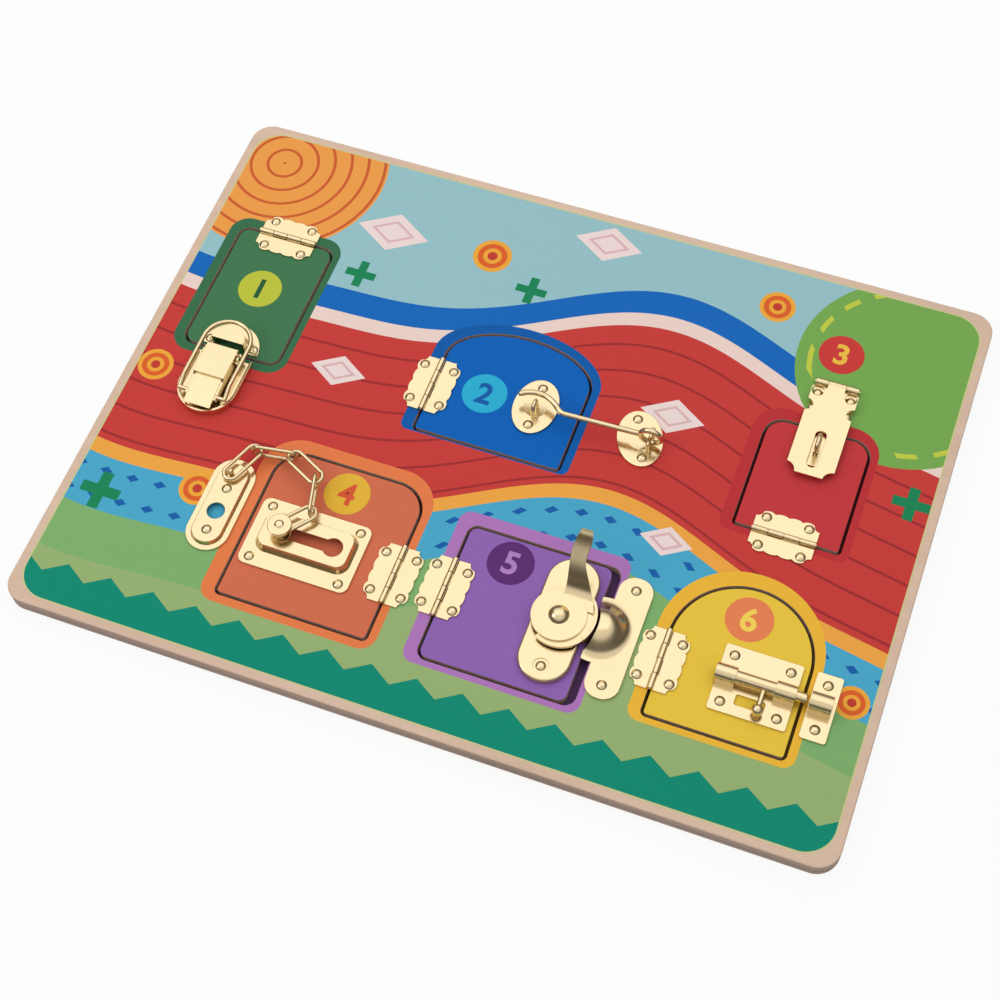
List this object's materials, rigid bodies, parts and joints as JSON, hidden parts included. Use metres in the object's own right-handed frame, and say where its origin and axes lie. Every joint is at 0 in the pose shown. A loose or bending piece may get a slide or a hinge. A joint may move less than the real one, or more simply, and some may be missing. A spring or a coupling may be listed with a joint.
{
  "type": "wooden lock busy board",
  "caption": "Flat plywood toy panel with small hinged doors, each held by a different brass latch, hook, chain, bolt or hasp.",
  "frame": {"origin": "middle of the flat underside", "axes": "+X along the long side, +Y up the picture, +Z out of the front face"},
  "size_m": [0.4, 0.3, 0.0405],
  "materials": {
    "front_panel": "printed birch ply",
    "back_panel": "bare birch ply",
    "door_1": "green print",
    "door_2": "blue print",
    "door_3": "red print",
    "door_4": "orange print",
    "door_5": "purple print",
    "door_6": "yellow print",
    "brass": "polished pale brass plate"
  },
  "bodies": {
    "board": {"front_panel": "front_panel", "back_panel": "back_panel", "panel_screws": "brass", "hinge_pins": "brass", "hinge_1_panel_leaf": "brass", "hinge_2_panel_leaf": "brass", "hinge_3_panel_leaf": "brass", "hinge_4_panel_leaf": "brass", "hinge_5_panel_leaf": "brass", "hinge_6_panel_leaf": "brass", "latch_base": "brass", "latch_pin": "brass", "hook_panel_plate": "brass", "hook_panel_eye": "brass", "hasp_leaf": "brass", "hasp_pin": "brass", "chain_anchor": "brass", "sash_keeper": "brass", "bolt_keeper": "brass"},
    "door_1_body": {"door_1": "door_1", "door_1_screws": "brass", "hinge_1_door_leaf": "brass", "latch_strike": "brass"},
    "door_2_body": {"door_2": "door_2", "door_2_screws": "brass", "hinge_2_door_leaf": "brass", "hook_door_plate": "brass", "hook_door_eye": "brass"},
    "door_3_body": {"door_3": "door_3", "door_3_screws": "brass", "hinge_3_door_leaf": "brass", "hasp_staple_plate": "brass", "hasp_staple": "brass"},
    "door_4_body": {"door_4": "door_4", "door_4_screws": "brass", "hinge_4_door_leaf": "brass", "chain_track": "brass"},
    "door_5_body": {"door_5": "door_5", "door_5_screws": "brass", "hinge_5_door_leaf": "brass", "sash_base": "brass", "sash_rivet": "brass"},
    "door_6_body": {"door_6": "door_6", "door_6_screws": "brass", "hinge_6_door_leaf": "brass", "bolt_base": "brass"},
    "lever": {"latch_lever": "brass"},
    "bail": {"latch_bail": "brass"},
    "hook": {"hook_rod": "brass"},
    "strap": {"hasp_strap": "brass"},
    "button": {"chain_button": "brass"},
    "link_1": {"chain_link_1": "brass"},
    "link_2": {"chain_link_2": "brass"},
    "link_3": {"chain_link_3": "brass"},
    "link_4": {"chain_link_4": "brass"},
    "link_5": {"chain_link_5": "brass"},
    "rotor": {"sash_rotor": "brass"},
    "bolt": {"bolt_rod": "brass", "bolt_knob": "brass"}
  },
  "joints": [
    {"name": "door_1_hinge", "type": "hinge", "parent": "board", "child": "door_1_body", "pos_m": [-0.1541, 0.0826, 0.0105], "axis": [-1, 0, 0], "range_deg": [0, 75]},
    {"name": "door_2_hinge", "type": "hinge", "parent": "board", "child": "door_2_body", "pos_m": [-0.0507, 0.0229, 0.0105], "axis": [0, -1, 0], "range_deg": [0, 70]},
    {"name": "door_3_hinge", "type": "hinge", "parent": "board", "child": "door_3_body", "pos_m": [0.1348, -0.0024, 0.0105], "axis": [1, 0, 0], "range_deg": [0, 70]},
    {"name": "door_4_hinge", "type": "hinge", "parent": "board", "child": "door_4_body", "pos_m": [-0.0294, -0.0804, 0.0105], "axis": [0, 1, 0], "range_deg": [0, 60]},
    {"name": "door_5_hinge", "type": "hinge", "parent": "board", "child": "door_5_body", "pos_m": [-0.0047, -0.0785, 0.0105], "axis": [0, -1, 0], "range_deg": [0, 75]},
    {"name": "door_6_hinge", "type": "hinge", "parent": "board", "child": "door_6_body", "pos_m": [0.0999, -0.0804, 0.0105], "axis": [0, -1, 0], "range_deg": [0, 110]},
    {"name": "latch_lever_pivot", "type": "hinge", "parent": "board", "child": "lever", "pos_m": [-0.1543, 0.0044, 0.0145], "axis": [-1, 0, 0], "range_deg": [0, 165.1]},
    {"name": "latch_bail_pivot", "type": "hinge", "parent": "lever", "child": "bail", "pos_m": [-0.1543, -0.021, 0.0144], "axis": [-1, 0, 0], "range_deg": [-262.6, 0]},
    {"name": "hook_swing", "type": "hinge", "parent": "board", "child": "hook", "pos_m": [0.061, 0.0246, 0.0176], "axis": [0, 1, 0], "range_deg": [0, 154.1]},
    {"name": "hasp_strap_hinge", "type": "hinge", "parent": "board", "child": "strap", "pos_m": [0.1366, 0.0846, 0.0112], "axis": [-1, 0, 0], "range_deg": [0, 171.6]},
    {"name": "chain_button_slide", "type": "slide", "parent": "door_4_body", "child": "button", "axis": [1, 0, 0], "range_m": [0, 0.02566]},
    {"name": "chain_link_5_swing", "type": "hinge", "parent": "button", "child": "link_5", "pos_m": [-0.0866, -0.0783, 0.0174], "axis": [0, 0, 1], "range_deg": [-9.1, 0]},
    {"name": "chain_link_4_swing", "type": "hinge", "parent": "link_5", "child": "link_4", "pos_m": [-0.0764, -0.0662, 0.0176], "axis": [0, 0, 1], "range_deg": [-9.1, 0]},
    {"name": "chain_link_3_swing", "type": "hinge", "parent": "link_4", "child": "link_3", "pos_m": [-0.0816, -0.0475, 0.0166], "axis": [0, 0, 1], "range_deg": [-9.1, 0]},
    {"name": "chain_link_2_swing", "type": "hinge", "parent": "link_3", "child": "link_2", "pos_m": [-0.0965, -0.0398, 0.0156], "axis": [0, 0, 1], "range_deg": [-9.1, 0]},
    {"name": "chain_link_1_swing", "type": "hinge", "parent": "link_2", "child": "link_1", "pos_m": [-0.1157, -0.0425, 0.015], "axis": [0, 0, 1], "range_deg": [-9.1, 0]},
    {"name": "sash_rotor_turn", "type": "hinge", "parent": "door_5_body", "child": "rotor", "pos_m": [0.0508, -0.0772, 0.0136], "axis": [0, 0, 1], "range_deg": [-20, 50]},
    {"name": "bolt_slide", "type": "slide", "parent": "door_6_body", "child": "bolt", "axis": [1, 0, 0], "range_m": [-0.011, 0.003]}
  ],
  "couplings": [
    {"joint": "latch_lever_pivot", "follows": "door_1_hinge", "ratio": 2.2},
    {"joint": "latch_bail_pivot", "follows": "door_1_hinge", "ratio": -3.5},
    {"joint": "hook_swing", "follows": "door_2_hinge", "ratio": 2.2},
    {"joint": "hasp_strap_hinge", "follows": "door_3_hinge", "ratio": 2.45},
    {"joint": "chain_button_slide", "follows": "door_4_hinge", "m_per_rad": 0.0245},
    {"joint": "chain_link_5_swing", "follows": "door_4_hinge", "ratio": -0.15},
    {"joint": "chain_link_3_swing", "follows": "door_4_hinge", "ratio": -0.15},
    {"joint": "chain_link_4_swing", "follows": "door_4_hinge", "ratio": -0.15},
    {"joint": "chain_link_2_swing", "follows": "door_4_hinge", "ratio": -0.15},
    {"joint": "chain_link_1_swing", "follows": "door_4_hinge", "ratio": -0.15}
  ]
}
